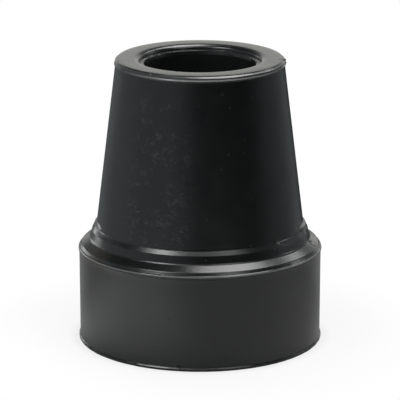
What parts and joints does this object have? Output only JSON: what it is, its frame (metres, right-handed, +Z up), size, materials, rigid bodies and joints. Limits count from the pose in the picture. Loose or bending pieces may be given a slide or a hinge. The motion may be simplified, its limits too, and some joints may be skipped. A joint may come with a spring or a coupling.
{
  "type": "cane tip",
  "caption": "Moulded rubber tip for the end of a cane: wide round foot, stepped shoulder and a tapered socket that the shaft is pushed into.",
  "frame": {"origin": "middle of the sole, on the floor", "axes": "+Z up the shaft's axis, out of the socket"},
  "size_m": [0.0422, 0.0422, 0.0495],
  "materials": {
    "rubber": "satin black moulded rubber"
  },
  "bodies": {
    "root": {"rubber_tip": "rubber"}
  },
  "joints": []
}
